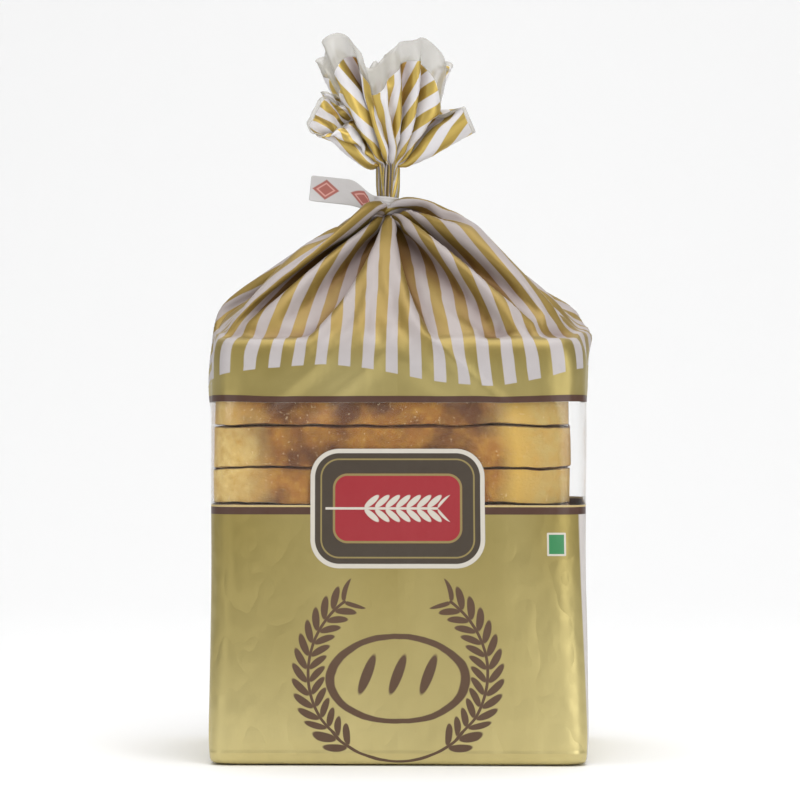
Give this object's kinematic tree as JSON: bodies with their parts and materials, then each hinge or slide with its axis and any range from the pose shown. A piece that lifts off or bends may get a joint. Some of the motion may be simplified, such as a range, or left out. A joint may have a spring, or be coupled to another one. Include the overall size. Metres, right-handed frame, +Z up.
{
  "type": "sliced loaf in bread bag",
  "caption": "Sliced loaf standing on its end in a striped, printed film bag with a clear window, gathered and taped at the neck under a ruffled mouth.",
  "frame": {"origin": "middle of the flat base, level with the surface it stands on", "axes": "+Z up from the base to the mouth, -Y towards the printed front, +X to the right of someone who faces the front"},
  "size_m": [0.116, 0.11, 0.233],
  "materials": {
    "printed_film": "satin metallic ink on clear film",
    "white_tape": "satin"
  },
  "bodies": {
    "root": {"bag": "printed_film", "tape": "white_tape"}
  },
  "joints": []
}
